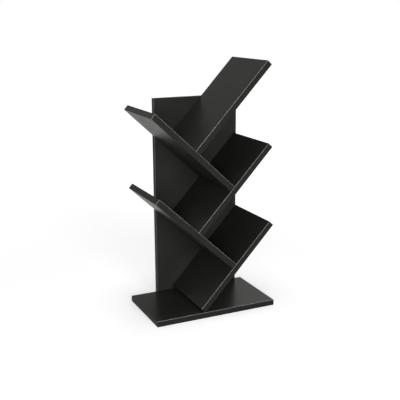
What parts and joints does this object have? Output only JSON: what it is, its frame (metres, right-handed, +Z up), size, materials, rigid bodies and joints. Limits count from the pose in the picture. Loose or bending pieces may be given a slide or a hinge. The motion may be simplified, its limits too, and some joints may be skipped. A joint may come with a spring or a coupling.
{
  "type": "tree shaped bookshelf",
  "caption": "Free-standing tree shaped bookshelf: slanted shelves crossing squarely above a flat base, screwed to an upright back board, with open bins for books on both sides.",
  "frame": {"origin": "on the floor, under the middle of the part's bounding box", "axes": "+X to the right seen from the front, +Y from the front to the back, +Z up"},
  "size_m": [0.3554, 0.216, 0.6774],
  "materials": {
    "board": "particleboard faced with near-black satin melamine",
    "edge_band": "near-black plastic edge band, finely grained",
    "screw_steel": "bright zinc plate",
    "dowel_wood": "bare beech",
    "cap_plastic": "near-black stick-on cap"
  },
  "bodies": {
    "root": {"base_board": "board", "back_board": "board", "bottom_shelf": "board", "lower_cross_shelf": "board", "middle_shelf": "board", "upper_cross_shelf": "board", "top_shelf": "board", "base_front_band": "edge_band", "base_back_band": "edge_band", "base_left_band": "edge_band", "base_right_band": "edge_band", "back_top_band": "edge_band", "back_left_band": "edge_band", "back_right_band": "edge_band", "bottom_shelf_foot_band": "edge_band", "bottom_shelf_front_band": "edge_band", "bottom_shelf_back_band": "edge_band", "bottom_shelf_end_band": "edge_band", "lower_cross_shelf_front_band": "edge_band", "lower_cross_shelf_back_band": "edge_band", "lower_cross_shelf_end_band": "edge_band", "middle_shelf_front_band": "edge_band", "middle_shelf_back_band": "edge_band", "middle_shelf_end_band": "edge_band", "upper_cross_shelf_front_band": "edge_band", "upper_cross_shelf_back_band": "edge_band", "upper_cross_shelf_end_band": "edge_band", "top_shelf_front_band": "edge_band", "top_shelf_back_band": "edge_band", "top_shelf_end_band": "edge_band", "back_screws": "screw_steel", "joint_screws": "screw_steel", "joint_dowels": "dowel_wood", "screw_caps": "cap_plastic"}
  },
  "joints": []
}
